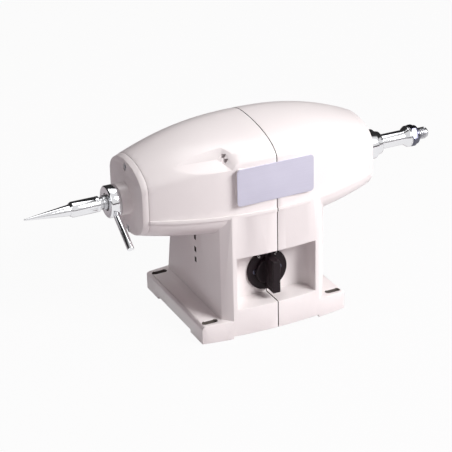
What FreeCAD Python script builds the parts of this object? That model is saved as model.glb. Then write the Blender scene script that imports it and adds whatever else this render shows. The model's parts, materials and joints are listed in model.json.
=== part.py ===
import FreeCAD, Part
import math
import os

os.makedirs("parts", exist_ok=True)

# Frame: X runs along the spindle with the wheel end at +X, -Y is the operator's side, +Z is up.
# The origin is on the bench, under the middle of the base. All sizes are millimetres.

# Barrel: half length over both end plates and its heights above the bench
barrel_half = 139.0
spindle_z = 157.0
ridge_z = 146.0
wall = 5.0
end_plate_thickness = 6.0
end_plate_inset = 0.2

# Barrel cross-sections, each as (at the end faces, at the middle), and how flat each one runs
side_power = 2.0
crown_power = 2.3
front_reach = (45.0, 82.0)
rear_reach = (43.0, 62.0)
shoulder_z = (177.0, 204.0)
crown_z = (201.0, 230.0)
rear_rise = (26.0, 66.0)
belly_drop = (28.0, 40.0)
bead_height = 4.0
bead_stand = 1.6

# Pedestal and base, flush with each other along one front arc
front_radius = 450.0
pedestal_half_front = 52.4
pedestal_chamfer = 10.1
pedestal_rear_low = 75.5
pedestal_rear_high = 52.0
pedestal_rear_chamfer = 3.5
pedestal_top_z = 146.0
base_half_width = 88.0
base_height = 22.3
base_rear_reach = 84.0
base_rear_corner = 77.0
base_edge_radius = 5.0
foot_length = 32.0
foot_lift = 3.0
slot_length = 18.0
slot_width = 7.0
slot_x = 76.0
slot_y = 67.0

# Switch pocket in the front of the pedestal
pocket_half_width = 47.5
pocket_floor_z = 35.0
pocket_roof_z = 96.5
pocket_depth = 28.0
pocket_corner_radius = 14.0

# Shoulder air scoops: inner corner, tip, top and outer corner of the left one
scoop_corner = (-59.0, -60.0, 207.3)
scoop_tip = (-103.0, -50.0, 204.6)
scoop_top = (-52.0, -56.0, 219.7)
scoop_outer = (-50.0, -77.0, 199.7)
scoop_cut_length = 3.0
scoop_vent_size = 4.2
scoop_vent_pitch = 5.6

# Seam between the two housing halves
seam_width = 1.0
seam_depth = 1.2

# Vents in the pedestal sides
side_vent_width = 4.6
side_vent_height = 6.4
side_vent_y = -5.5
side_vent_heights = (67.5, 80.0, 95.0)

# Spindle, bearings and seals
shaft_radius = 8.5
shaft_mid_radius = 10.0
rotor_seat_radius = 12.0
spigot_radius = 6.0
spigot_setback = 0.5
spigot_length = 40.5
arbor_radius = 7.0
arbor_length = 64.0
arbor_crest_radius = 6.8
arbor_stub_length = 12.0
bearing_outer_radius = 20.0
bearing_width = 12.0
bearing_inner_land = 11.6
bearing_outer_land = 17.0
ball_radius = 3.3
ball_count = 8
bearing_setback = 8.0
ring_clip_width = 1.3
ring_clip_radius = 21.5
ring_clip_depth = 3.0
shaft_passage = 0.6
arbor_nose = 3.0
arbor_tip = 0.75
arbor_tip_radius = 4.9
arbor_end_radius = 2.45
hub_radius = 26.0
boss_radius = 17.5
boss_length = 11.0
seal_radius = 14.0
seal_width = 6.0
seal_wall = 2.0
seal_lip = 1.5
fit = 0.05
running_gap = 0.3
hub_lip = 1.0
edge_break = 0.8

# Ejector on the left boss
ejector_neck_radius = 13.0
ejector_neck_length = 10.0
collar_radius = 17.8
collar_length = 11.9
collar_face_bore = 9.6
collar_bevel = 1.2
ejector_ring_radius = 7.9
ejector_ring_setback = 2.5
ejector_ring_length = 14.1
ejector_stroke = 3.0
ejector_swing = 55.0
ejector_pin_radius = 1.4
ejector_pin_tip = 14.8
ejector_pin_setback = 2.9
ejector_pin_heading = 90.0
cam_margin = 12.0
lever_radius = 3.75
lever_reach = 61.5
lever_angle = 215.4
lever_root = 14.6

# Buffing chuck
chuck_radius = 8.5
chuck_gap = 0.9
chuck_groove_setback = 3.8
chuck_groove_size = 0.5
chuck_length = 33.5
chuck_bevel_length = 3.0
chuck_nose_radius = 6.6
cone_radius = 6.2
cone_tip_radius = 0.9
cone_length = 50.0
cone_shank_radius = 3.5
cone_shank_length = 12.0

# Wheel end
dust_collar_radius = 17.0
dust_collar_length = 15.7
dust_collar_nose_length = 7.0
dust_collar_nose_radius = 13.0
dust_collar_bevel = 1.5
flange_sleeve_length = 30.5
flange_cone_length = 5.5
flange_rim_thickness = 1.4
flange_radius = 12.3
outer_flange_thickness = 1.4
nut_thickness = 6.8
nut_across_flats = 22.0
nut_bevel = 1.0
lock_ring_thickness = 2.6
lock_ring_radius = 11.0

# Motor
motor_frame_radius = 54.0
stator_radius = 50.0
stator_bore = 30.5
rotor_radius = 30.0
core_half_length = 35.0
motor_frame_half = 50.0
stator_slots = 24
slot_opening = 4.0
slot_outer_radius = 43.0
end_turn_inner = 33.0
end_turn_outer = 46.0
end_turn_length = 12.0
end_turn_edge = 4.0
slot_liner = 0.3
rotor_ring_radius = 27.0
rotor_ring_bore = 16.0
rotor_ring_length = 8.0
web_thickness = 8.0
web_x = 30.0
web_floor_z = 101.5
wire_way_radius = 6.0
wire_way_y = -66.0
wire_way_z = 160.0
fan_x = 62.0
fan_width = 14.0
fan_hub_radius = 15.0
fan_radius = 40.0
fan_blades = 9
fan_blade_thickness = 2.2

# Switch
switch_z = 63.0
dial_radius = 24.0
dial_thickness = 3.0
knob_skirt_radius = 15.0
knob_skirt_thickness = 4.0
grip_width = 9.0
grip_height = 38.0
grip_front_reach = 79.5
switch_spindle_radius = 3.0
spindle_hole_radius = 4.0
switch_body_size = 45.0
switch_body_depth = 32.0
switch_body_edge = 2.0
switch_screw_spacing = 28.0
dial_screw_head = 1.8
dial_screw_grip = 4.0
grip_edge = 1.0
knob_edge = 1.5
spindle_depth = 12.0

# Nameplate
plate_width = 90.5
plate_height = 42.0
plate_thickness = 1.2
plate_centre_x = -2.0
plate_centre_z = 180.2
plate_corner = 4.0
plate_pad_margin = 0.9
plate_seat_y = -82.4
plate_pad_depth = 6.0

# Fasteners and the room round them
screw_clearance = 0.3
head_clearance = 0.4
cutter_overrun = 1.0
end_screw_offset = 36.3
end_screw_radius = 2.5
end_screw_head = 4.5
end_screw_length = 16.0
end_rib_length = 18.0
end_rib_margin = 1.5
end_screw_seat_depth = 4.0
end_screw_head_height = 3.0
end_screw_socket = 4.0
socket_depth = 2.0
tie_socket = 5.0
tie_bolt_radius = 3.0
tie_bolt_head = 5.0
tie_bolt_end_x = -26.0
tie_boss_radius = 7.0
tie_head_depth = 7.0
tie_head_height = 6.0
tie_places_base = ((-56.0, 15.0), (60.0, 15.0))
tie_places_pedestal = ((40.0, 93.0), (-60.0, 113.0))
cover_screw_radius = 2.0
cover_screw_head = 3.8
cover_screw_length = 8.0
cover_head_height = 1.8
cover_screw_inset = 6.0

# Bottom cover and what stands on it
cover_thickness = 2.0
cover_clearance = 0.3
cover_half_x = 56.0
cover_front_y = -60.0
cover_rear_y = 62.0
cover_top_z = 5.0
cover_boss_top_z = 17.0
cover_boss_radius = 5.8
hollow_half_x = 50.0
hollow_front_y = -54.0
hollow_rear_y = 56.0
capacitor_radius = 18.0
capacitor_length = 70.0
capacitor_y = 24.0
capacitor_tag_length = 6.0
capacitor_tag_offset = 6.0
capacitor_tag_thickness = 0.8
capacitor_tag_height = 6.0
capacitor_edge = 1.5
wire_radius = 1.2
wire_row_inset = 2.5
wire_stand_off = 3.0
wire_bend_height = 8.0
wire_bend_y = -12.0
wire_turn_height = 14.0
# Side, terminal way, reach past the tag and rise of each capacitor lead
capacitor_leads = ((-1, 1.5, 5.0, 8.0), (1, 2.1, 10.0, 4.0))
terminal_length = 46.0
terminal_width = 18.0
terminal_height = 18.0
terminal_y = -30.0
terminal_ways = 5
terminal_well = 5.0
terminal_screw_radius = 1.9
terminal_screw_length = 3.0
clamp_width = 16.0
clamp_thickness = 1.5
clamp_lug = 6.0
capacitor_lift = 4.0
gland_x = 30.0
gland_z = 42.0
gland_radius = 11.0
gland_bore = 4.0
gland_boss_radius = 14.0
gland_boss_depth = 16.0
gland_seat_y = 80.0
gland_thread_radius = 8.0
gland_hex_length = 6.0
gland_cap_length = 9.0
gland_nut_length = 4.0
gland_thread_stand = 1.0
gland_cap_wall = 2.5


def vec(x, y, z):
    return FreeCAD.Vector(x, y, z)


def box(x0, x1, y0, y1, z0, z1):
    return Part.makeBox(x1 - x0, y1 - y0, z1 - z0, vec(x0, y0, z0))


def rod_x(radius, x0, x1, y=0.0, z=spindle_z):
    low = min(x0, x1)
    return Part.makeCylinder(radius, abs(x1 - x0), vec(low, y, z), vec(1, 0, 0))


def rod_y(radius, y0, y1, x, z):
    return Part.makeCylinder(radius, y1 - y0, vec(x, y0, z), vec(0, 1, 0))


def rod_z(radius, z0, z1, x, y):
    return Part.makeCylinder(radius, z1 - z0, vec(x, y, z0), vec(0, 0, 1))


def tube_x(outer, inner, x0, x1, y=0.0, z=spindle_z):
    low, high = min(x0, x1), max(x0, x1)
    bore = rod_x(inner, low - cutter_overrun, high + cutter_overrun, y, z)
    return rod_x(outer, low, high, y, z).cut(bore)


def turned(profile):
    """Solid of revolution about the spindle axis from (x, radius) points."""
    points = [vec(x, 0, spindle_z + r) for x, r in profile]
    face = Part.Face(Part.makePolygon(points + [points[0]]))
    return face.revolve(vec(0, 0, spindle_z), vec(1, 0, 0), 360)


def mirrored(shape):
    return shape.mirror(vec(0, 0, 0), vec(1, 0, 0))


def slab(points, z0, z1):
    """Upright prism over a plan outline given as line and three-point arc steps."""
    edges = []
    start = points[0]
    here = start
    for step in points[1:]:
        if len(step) == 4:
            middle, there = (step[0], step[1]), (step[2], step[3])
            on_arc = [vec(x, y, z0) for x, y in (here, middle, there)]
            edges.append(Part.Arc(*on_arc).toShape())
        else:
            there = step
            edges.append(Part.makeLine(vec(here[0], here[1], z0), vec(there[0], there[1], z0)))
        here = there
    return Part.Face(Part.Wire(edges)).extrude(vec(0, 0, z1 - z0))


def save(name, *solids):
    shape = solids[0] if len(solids) == 1 else Part.makeCompound(list(solids))
    shape.exportStep("parts/" + name + ".step")
    print(name, len(shape.Solids), "solid(s)", round(shape.Volume), "mm3", shape.isValid())


def between(pair, x, power=side_power):
    """Value at x of a size that swells smoothly from the end faces to the middle."""
    swell = 1.0 - abs(x / barrel_half) ** power
    return pair[0] + (pair[1] - pair[0]) * swell


def quarter(x, centre_z, reach, rise):
    """Quarter ellipse in the plane x, from its side point to its top or bottom point."""
    bend = math.sqrt(0.5)
    unit_arc = Part.Arc(vec(0, 1, 0), vec(0, bend, bend), vec(0, 0, 1)).toShape()
    stretch = FreeCAD.Matrix(1, 0, 0, x, 0, reach, 0, 0, 0, 0, rise, centre_z, 0, 0, 0, 1)
    return unit_arc.transformGeometry(stretch)


def barrel_section(x, inset):
    front = between(front_reach, x) - inset
    rear = between(rear_reach, x) - inset
    crown = between(crown_z, x, crown_power) - inset
    shoulder = between(shoulder_z, x)
    rear_shoulder = crown + inset - between(rear_rise, x)
    belly = between(belly_drop, x) - inset
    edges = [
        Part.makeLine(vec(x, -front, ridge_z), vec(x, -front, shoulder)),
        quarter(x, shoulder, -front, crown - shoulder),
        quarter(x, rear_shoulder, rear, crown - rear_shoulder),
        Part.makeLine(vec(x, rear, rear_shoulder), vec(x, rear, ridge_z)),
        quarter(x, ridge_z, rear, -belly),
        quarter(x, ridge_z, -front, -belly),
    ]
    return Part.Wire(edges)


def barrel_loft(inset, half_length):
    steps = (-1.0, -0.66, -0.33, 0.0, 0.33, 0.66, 1.0)
    wires = [barrel_section(half_length * s, inset) for s in steps]
    return Part.makeLoft(wires, True, False)


# Places that follow from the sizes above
housing_half = barrel_half - end_plate_thickness
base_front_y = -front_reach[1]
pedestal_half_side = pedestal_half_front + pedestal_chamfer
boss_end_x = barrel_half + boss_length
bearing_outer_face_x = barrel_half - bearing_setback
shaft_step_x = boss_end_x - spigot_setback
spigot_end_x = shaft_step_x + spigot_length
neck_end_x = boss_end_x + ejector_neck_length
seal_end_x = bearing_outer_face_x + seal_width
ball_circle_radius = (bearing_inner_land + bearing_outer_land) / 2
bearing_shoulder_x = bearing_outer_face_x - bearing_width
ring_clip_x = bearing_shoulder_x - ring_clip_width
hub_end_x = ring_clip_x - hub_lip
collar_start_x = boss_end_x + running_gap
collar_end_x = collar_start_x + collar_length
ejector_ring_start_x = boss_end_x + ejector_ring_setback
ejector_ring_end_x = ejector_ring_start_x + ejector_ring_length
ejector_pin_x = ejector_ring_start_x + ejector_pin_setback
chuck_start_x = ejector_ring_end_x + ejector_stroke + chuck_gap
chuck_groove_x = chuck_start_x + chuck_groove_setback
chuck_end_x = chuck_start_x + chuck_length
chuck_bevel_x = chuck_end_x - chuck_bevel_length
cone_tip_x = chuck_end_x + cone_length
dust_collar_step_x = collar_start_x + dust_collar_length
inner_flange_start_x = dust_collar_step_x + dust_collar_nose_length
arbor_end_x = inner_flange_start_x + arbor_length
arbor_nose_x = arbor_end_x - arbor_nose
arbor_tip_x = arbor_end_x - arbor_tip
arbor_stub_x = arbor_nose_x - arbor_stub_length
flange_cone_x = inner_flange_start_x + flange_sleeve_length
flange_rim_x = flange_cone_x + flange_cone_length
inner_flange_end_x = flange_rim_x + flange_rim_thickness
collar_floor_x = neck_end_x + running_gap
end_screw_seat_x = barrel_half - end_screw_seat_depth
end_screw_face_x = end_screw_seat_x + end_screw_head_height
cone_shank_end_x = chuck_end_x - cone_shank_length
outer_flange_x = inner_flange_end_x + running_gap
outer_flange_end_x = outer_flange_x + outer_flange_thickness
nut_x = outer_flange_end_x + running_gap
nut_face_x = nut_x + nut_thickness
nut_end_x = nut_face_x + lock_ring_thickness
switch_screw_places = (-switch_screw_spacing / 2, switch_screw_spacing / 2)
end_screw_heights = (spindle_z - end_screw_offset, spindle_z + end_screw_offset)
tie_bolt_seats = [(base_half_width - tie_head_depth, y, z) for y, z in tie_places_base]
tie_bolt_seats += [(pedestal_half_side - tie_head_depth, y, z) for y, z in tie_places_pedestal]
switch_wall_y = base_front_y + pocket_depth
motor_frame_floor_z = spindle_z - motor_frame_radius
dial_front_y = switch_wall_y - dial_thickness
knob_front_y = dial_front_y - running_gap - knob_skirt_thickness
capacitor_z = cover_top_z + clamp_thickness + capacitor_radius + capacitor_lift
terminal_top_z = cover_top_z + terminal_height
gland_inner_y = gland_seat_y - gland_boss_depth


def front_arc_y(x):
    """Plan line of the front, flush with the barrel at the seam."""
    return base_front_y + front_radius - math.sqrt(front_radius ** 2 - x ** 2)


def pedestal_plan(z, rear_y, inset):
    front_half = pedestal_half_front - inset * math.tan(math.radians(22.5))
    side_half = pedestal_half_side - inset
    corner_y = front_arc_y(pedestal_half_front) + inset
    side_front_y = corner_y + pedestal_chamfer
    rear = rear_y - inset
    side_rear_y = rear - pedestal_rear_chamfer
    rear_half = side_half - pedestal_rear_chamfer
    outline = [
        (front_half, corner_y), (side_half, side_front_y), (side_half, side_rear_y), (rear_half, rear),
        (-rear_half, rear), (-side_half, side_rear_y), (-side_half, side_front_y), (-front_half, corner_y),
    ]
    points = [vec(x, y, z) for x, y in outline]
    edges = [Part.makeLine(a, b) for a, b in zip(points, points[1:])]
    edges.append(Part.Arc(points[-1], vec(0, base_front_y + inset, z), points[0]).toShape())
    return Part.Wire(edges)


def pedestal_block(z0, z1, inset):
    """Pedestal with its back leaning in towards the barrel."""
    lean = (pedestal_rear_high - pedestal_rear_low) / (pedestal_top_z - base_height)
    wires = [pedestal_plan(z, pedestal_rear_low + lean * (z - base_height), inset) for z in (z0, z1)]
    return Part.makeLoft(wires, True, True)


def base_block():
    corner_y = front_arc_y(base_half_width)
    outline = [
        (-base_half_width, corner_y),
        (0, base_front_y, base_half_width, corner_y),
        (base_half_width, base_rear_corner),
        (0, base_rear_reach, -base_half_width, base_rear_corner),
        (-base_half_width, corner_y),
    ]
    block = slab(outline, 0, base_height)
    rolled = []
    for edge in block.Edges:
        middle = edge.CenterOfMass
        on_top = abs(middle.z - base_height) < 0.01
        if on_top and (abs(middle.x) > base_half_width - 0.01 or middle.y > base_rear_corner):
            rolled.append(edge)
    block = block.makeFillet(base_edge_radius, rolled)
    far = base_half_width + base_rear_reach
    inner_y = (corner_y + foot_length, base_rear_corner - foot_length)
    side_relief = box(-far, far, inner_y[0], inner_y[1], -cutter_overrun, foot_lift)
    front_relief = box(-pedestal_half_front, pedestal_half_front, -far, far, -cutter_overrun, foot_lift)
    return block.cut(side_relief.fuse(front_relief))


def bench_slots():
    half_run = (slot_length - slot_width) / 2
    half_wide = slot_width / 2
    z0, z1 = -cutter_overrun, base_height + cutter_overrun
    cutters = []
    for side in (-1, 1):
        for y in (-slot_y, slot_y):
            x0, x1 = side * slot_x - half_run, side * slot_x + half_run
            cutters.append(box(x0, x1, y - half_wide, y + half_wide, z0, z1))
            cutters.append(rod_z(half_wide, z0, z1, x0, y))
            cutters.append(rod_z(half_wide, z0, z1, x1, y))
    return cutters


def switch_pocket(grow):
    half = pocket_half_width + grow
    back_y = base_front_y + pocket_depth + grow
    radius = pocket_corner_radius + grow
    mouth_y = base_front_y - pocket_depth
    bend = radius * (1 - math.sqrt(0.5))
    outline = [
        (-half, mouth_y), (half, mouth_y), (half, back_y - radius),
        (half - bend, back_y - bend, half - radius, back_y), (-half + radius, back_y),
        (-half + bend, back_y - bend, -half, back_y - radius), (-half, mouth_y),
    ]
    return slab(outline, pocket_floor_z - grow, pocket_roof_z + grow)


def scoop_notch(depth):
    """Three-sided notch of the left shoulder, its faces moved into the metal by depth."""
    corner, tip, top, outer = [vec(*p) for p in (scoop_corner, scoop_tip, scoop_top, scoop_outer)]
    arms = [tip - corner, top - corner, outer - corner]
    middle = arms[0] + arms[1] + arms[2]
    normals = []
    for a, b in ((0, 1), (1, 2), (2, 0)):
        normal = arms[a].cross(arms[b])
        normal.normalize()
        normals.append(normal if normal.dot(middle) > 0 else normal * -1)
    n1, n2, n3 = normals
    shift = (n2.cross(n3) + n3.cross(n1) + n1.cross(n2)) * (-depth / n1.dot(n2.cross(n3)))
    root = corner + shift
    far = [root + arm * scoop_cut_length for arm in arms]
    sides = [(root, far[0], far[1]), (root, far[1], far[2]), (root, far[2], far[0]), tuple(far)]
    faces = [Part.Face(Part.makePolygon([p, q, r, p])) for p, q, r in sides]
    return Part.makeSolid(Part.makeShell(faces))


def scoop_vents():
    """Two square air openings in the end wall of the left scoop."""
    top, corner, outer = vec(*scoop_top), vec(*scoop_corner), vec(*scoop_outer)
    centre = (top + corner + outer) * (1.0 / 3.0)
    along = (outer - top).normalize()
    half = scoop_vent_size / 2
    cutters = []
    for place in (-0.5, 0.5):
        spot = centre + along * (place * scoop_vent_pitch)
        x0, x1 = spot.x - 2 * wall, spot.x + 2 * wall
        cutters.append(box(x0, x1, spot.y - half, spot.y + half, spot.z - half, spot.z + half))
    return cutters


def half_space_x(x, towards_right=True):
    """Block wider than the machine that holds everything on one side of the plane at x."""
    reach = 2 * barrel_half
    x0, x1 = (x, x + reach) if towards_right else (x - reach, x)
    return box(x0, x1, -reach, reach, -reach, reach)


def seam_groove(body):
    """Shallow groove round the outside where the two housing halves meet."""
    half = seam_width / 2
    section = body.common(half_space_x(-half).common(half_space_x(half, towards_right=False)))
    core_face = Part.Face(barrel_section(0, seam_depth))
    core = core_face.extrude(vec(seam_width, 0, 0)).translated(vec(-half, 0, 0))
    front = base_front_y + seam_depth
    low = box(-half, half, front, base_rear_reach, 0, pocket_floor_z)
    tall = box(-half, half, front, pedestal_rear_high - seam_depth, 0, spindle_z)
    return section.cut(low.fuse([tall, core]))


def bulkhead(side):
    """Cross wall that carries the motor frame in one housing half."""
    x0, x1 = sorted((side * web_x, side * (web_x + web_thickness)))
    wide = front_reach[1]
    web = box(x0, x1, -wide, wide, web_floor_z, crown_z[1])
    x0, x1 = x0 - cutter_overrun, x1 + cutter_overrun
    wire_way = rod_x(wire_way_radius, x0, x1, wire_way_y, wire_way_z)
    return web.cut(rod_x(motor_frame_radius, x0, x1)).cut(wire_way)


def end_ribs(side):
    """Thickened wall behind each end-plate screw."""
    half = end_screw_head + end_rib_margin
    x0, x1 = sorted((side * (housing_half - end_rib_length), side * housing_half))
    upper = box(x0, x1, -half, half, spindle_z + end_screw_offset - half, crown_z[1])
    lower = box(x0, x1, -half, half, ridge_z - belly_drop[1], spindle_z - end_screw_offset + half)
    return [upper, lower]


def housing_shell():
    """Barrel, pedestal and base as one hollow casting."""
    wide = front_reach[1] + wall
    band = box(-housing_half, housing_half, -wide, wide, ridge_z - bead_height / 2, ridge_z + bead_height / 2)
    bead = barrel_loft(-bead_stand, housing_half).common(band)
    pedestal = pedestal_block(base_height - cutter_overrun, pedestal_top_z, 0.0)
    outer = barrel_loft(0.0, housing_half).fuse([pedestal, base_block(), bead, nameplate_pad()])
    left_notch = scoop_notch(0.0)
    outer = outer.cut([left_notch, mirrored(left_notch), switch_pocket(0.0)])
    return outer.fuse(gland_boss()).cut(housing_hollow())


def housing_hollow():
    """Inside of the housing, less the walls, webs and bosses that stand in it."""
    foot = box(-hollow_half_x, hollow_half_x, hollow_front_y, hollow_rear_y, 0, base_height)
    pedestal = pedestal_block(base_height - wall, pedestal_top_z, wall)
    hollow = barrel_loft(wall, housing_half).fuse([pedestal, foot])
    notch = scoop_notch(wall)
    kept = [notch, mirrored(notch), switch_pocket(wall), bulkhead(-1), bulkhead(1), gland_boss()]
    kept += end_ribs(-1) + end_ribs(1)
    for seat_x, y, z in tie_bolt_seats:
        kept.append(rod_x(tie_boss_radius, -pedestal_half_side, pedestal_half_side, y, z))
    for x, y in cover_screw_places():
        kept.append(rod_z(cover_boss_radius, 0, cover_boss_top_z, x, y))
    return hollow.cut(kept)


def gland_boss():
    return rod_y(gland_boss_radius, gland_seat_y - gland_boss_depth, gland_seat_y, gland_x, gland_z)


def side_vents():
    y0, y1 = side_vent_y - side_vent_width / 2, side_vent_y + side_vent_width / 2
    vents = []
    for side in (-1, 1):
        x0, x1 = sorted((side * (pedestal_half_side - 2 * wall), side * (pedestal_half_side + wall)))
        for z in side_vent_heights:
            vents.append(box(x0, x1, y0, y1, z - side_vent_height / 2, z + side_vent_height / 2))
    return vents


def fastener_holes():
    """Holes for the end screws, tie bolts, switch screws and cover screws."""
    holes = []
    for side in (-1, 1):
        x0, x1 = side * (housing_half - end_screw_length), side * barrel_half
        holes += [rod_x(end_screw_radius, x0, x1, 0, z) for z in end_screw_heights]
    for seat_x, y, z in tie_bolt_seats:
        holes.append(rod_x(tie_bolt_radius, tie_bolt_end_x, seat_x, y, z))
        holes.append(rod_x(tie_bolt_head + head_clearance, seat_x, seat_x + 2 * tie_head_depth, y, z))
    back = switch_wall_y + wall + cutter_overrun
    for x in switch_screw_places:
        holes.append(rod_y(cover_screw_radius, base_front_y, back, x, switch_z))
    z0, z1 = cover_top_z - cutter_overrun, cover_top_z + cover_screw_length
    holes += [rod_z(cover_screw_radius, z0, z1, x, y) for x, y in cover_screw_places()]
    return holes


def service_openings():
    """Ways through the walls for the switch spindle and the cable, and the bottom cover's seat."""
    back = switch_wall_y + wall + cutter_overrun
    spindle_way = rod_y(spindle_hole_radius, base_front_y, back, 0, switch_z)
    y0 = gland_seat_y - gland_boss_depth - cutter_overrun
    cable_way = rod_y(gland_thread_radius, y0, gland_seat_y + cutter_overrun, gland_x, gland_z)
    x1 = cover_half_x + cover_clearance
    y0, y1 = cover_front_y - cover_clearance, cover_rear_y + cover_clearance
    return [spindle_way, cable_way, box(-x1, x1, y0, y1, 0, cover_top_z)]


def housing():
    body = housing_shell()
    vents = scoop_vents()
    cutters = bench_slots() + [seam_groove(body)] + side_vents() + fastener_holes() + service_openings()
    return body.cut(cutters + vents + [mirrored(vent) for vent in vents])


def cover_screw_places():
    xs = (-cover_half_x + cover_screw_inset, cover_half_x - cover_screw_inset)
    ys = (cover_front_y + cover_screw_inset, cover_rear_y - cover_screw_inset)
    return [(x, y) for x in xs for y in ys]


def end_plate(side):
    """Bearing end plate: cover, outer boss and inner bearing hub, built for one side."""
    plate_ends = [side * housing_half, side * barrel_half]
    plate = Part.makeLoft([barrel_section(x, end_plate_inset) for x in plate_ends], True, True)
    over = side * cutter_overrun
    boss = rod_x(boss_radius, side * housing_half, side * boss_end_x)
    hub = rod_x(hub_radius, side * hub_end_x, side * barrel_half - over)
    holes = [
        rod_x(bearing_outer_radius, side * hub_end_x - over, side * bearing_outer_face_x),
        rod_x(seal_radius, side * bearing_outer_face_x - over, side * seal_end_x),
        rod_x(shaft_radius + shaft_passage, side * bearing_outer_face_x, side * boss_end_x + over),
        rod_x(ring_clip_radius, side * ring_clip_x, side * (ring_clip_x + ring_clip_width)),
    ]
    face = side * barrel_half + over
    for z in end_screw_heights:
        holes.append(rod_x(end_screw_radius + screw_clearance, side * housing_half - over, face, 0, z))
        holes.append(rod_x(end_screw_head + head_clearance, side * end_screw_seat_x, face, 0, z))
    return plate.fuse([boss, hub]).cut(holes)


def ejector_neck():
    """Hollow neck on the left boss that the ejector collar turns on, slotted for the cross pin."""
    neck = tube_x(ejector_neck_radius, ejector_ring_radius + fit, -boss_end_x, -neck_end_x)
    half = ejector_pin_radius + 2 * fit
    top = spindle_z + ejector_neck_radius + cutter_overrun
    return neck.cut(box(-neck_end_x - cutter_overrun, -ejector_pin_x + half, -half, half, spindle_z, top))


def end_screws(side):
    point = side * (housing_half - end_screw_length + cutter_overrun)
    seat, face = side * end_screw_seat_x, side * end_screw_face_x
    screws = []
    for z in end_screw_heights:
        shank = rod_x(end_screw_radius, point, seat, 0, z)
        head = rod_x(end_screw_head, seat, face, 0, z)
        socket = hex_prism_x(end_screw_socket, face - side * socket_depth, face, z)
        screws.append(shank.fuse(head).cut(socket))
    return screws


def hex_prism_x(across_flats, x0, x1, z=spindle_z, y=0.0):
    corner = across_flats / math.sqrt(3.0)
    points = []
    for k in range(7):
        turn = math.radians(60 * k)
        points.append(vec(min(x0, x1), y + corner * math.cos(turn), z + corner * math.sin(turn)))
    return Part.Face(Part.makePolygon(points)).extrude(vec(abs(x1 - x0), 0, 0))


def tie_bolts():
    bolts = []
    for seat_x, y, z in tie_bolt_seats:
        face_x = seat_x + tie_head_height
        shank = rod_x(tie_bolt_radius, tie_bolt_end_x + cutter_overrun, seat_x, y, z)
        head = rod_x(tie_bolt_head, seat_x, face_x, y, z)
        socket = hex_prism_x(tie_socket, face_x - socket_depth, face_x, z, y)
        bolts.append(shank.fuse(head).cut(socket))
    return bolts


def main_shaft():
    return turned([
        (-spigot_end_x, 0), (-spigot_end_x, spigot_radius - edge_break),
        (-spigot_end_x + edge_break, spigot_radius),
        (-shaft_step_x, spigot_radius), (-shaft_step_x, shaft_radius),
        (-bearing_shoulder_x, shaft_radius), (-bearing_shoulder_x, shaft_mid_radius),
        (-core_half_length, shaft_mid_radius), (-core_half_length, rotor_seat_radius),
        (core_half_length, rotor_seat_radius), (core_half_length, shaft_mid_radius),
        (bearing_shoulder_x, shaft_mid_radius), (bearing_shoulder_x, shaft_radius),
        (inner_flange_start_x, shaft_radius), (inner_flange_start_x, arbor_radius),
        (arbor_stub_x, arbor_radius), (arbor_stub_x, arbor_crest_radius),
        (arbor_nose_x, arbor_crest_radius), (arbor_tip_x, arbor_tip_radius),
        (arbor_end_x, arbor_end_radius), (arbor_end_x, 0),
    ])


def bearing_ring(side, inner, outer):
    x0, x1 = bearing_outer_face_x - bearing_width, bearing_outer_face_x
    ring = tube_x(outer, inner, side * x0, side * x1)
    centre = vec(side * (x0 + x1) / 2, 0, spindle_z)
    return ring.cut(Part.makeTorus(ball_circle_radius, ball_radius + fit, centre, vec(1, 0, 0)))


def bearing_balls(side):
    middle = side * (bearing_outer_face_x - bearing_width / 2)
    balls = []
    for k in range(ball_count):
        turn = 2 * math.pi * k / ball_count
        y, z = ball_circle_radius * math.cos(turn), spindle_z + ball_circle_radius * math.sin(turn)
        balls.append(Part.makeSphere(ball_radius, vec(middle, y, z)))
    return balls


def ring_clip(side):
    """Internal retaining ring with its gap, in the hub groove."""
    x0, x1 = sorted((side * ring_clip_x, side * (ring_clip_x + ring_clip_width)))
    ring = tube_x(ring_clip_radius, ring_clip_radius - ring_clip_depth, x0, x1)
    low = spindle_z - ring_clip_radius - cutter_overrun
    gap = box(x0 - cutter_overrun, x1 + cutter_overrun, -ring_clip_depth, ring_clip_depth, low, spindle_z)
    return ring.cut(gap)


def shaft_seal(side):
    """Lip seal, hollow towards the bearing."""
    x0, x1 = side * bearing_outer_face_x, side * seal_end_x
    ring = tube_x(seal_radius, shaft_radius + fit, x0, x1)
    floor_x = side * (seal_end_x - seal_wall)
    return ring.cut(tube_x(seal_radius - seal_wall, shaft_radius + fit + seal_lip, x0, floor_x))


def ejector_collar():
    body = turned([
        (-collar_start_x, ejector_neck_radius + fit), (-collar_start_x, collar_radius - edge_break),
        (-collar_start_x - edge_break, collar_radius), (-collar_end_x + collar_bevel, collar_radius),
        (-collar_end_x, collar_radius - collar_bevel), (-collar_end_x, collar_face_bore),
        (-collar_floor_x, collar_face_bore), (-collar_floor_x, ejector_neck_radius + fit),
    ])
    sweep = ejector_swing + 2 * cam_margin
    cam_reach = ejector_pin_tip + running_gap
    cam_start_x = ejector_pin_x - ejector_pin_radius - running_gap
    cam_length = collar_floor_x - cam_start_x
    axis = vec(1, 0, 0)
    sector = Part.makeCylinder(cam_reach, cam_length, vec(-collar_floor_x, 0, spindle_z), axis, sweep)
    spot = sector.CenterOfMass
    heading = math.degrees(math.atan2(spot.z - spindle_z, spot.y))
    middle = ejector_pin_heading + ejector_swing / 2
    sector.rotate(vec(0, 0, spindle_z), vec(1, 0, 0), middle - heading)
    return body.cut([sector, lever_rod(lever_root, collar_radius + cutter_overrun)])


def lever_direction():
    turn = math.radians(lever_angle)
    return vec(0, math.cos(turn), math.sin(turn))


def lever_rod(r0, r1):
    heading = lever_direction()
    centre = vec(-(collar_start_x + collar_end_x) / 2, 0, spindle_z)
    return Part.makeCylinder(lever_radius, r1 - r0, centre + heading * r0, heading)


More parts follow.
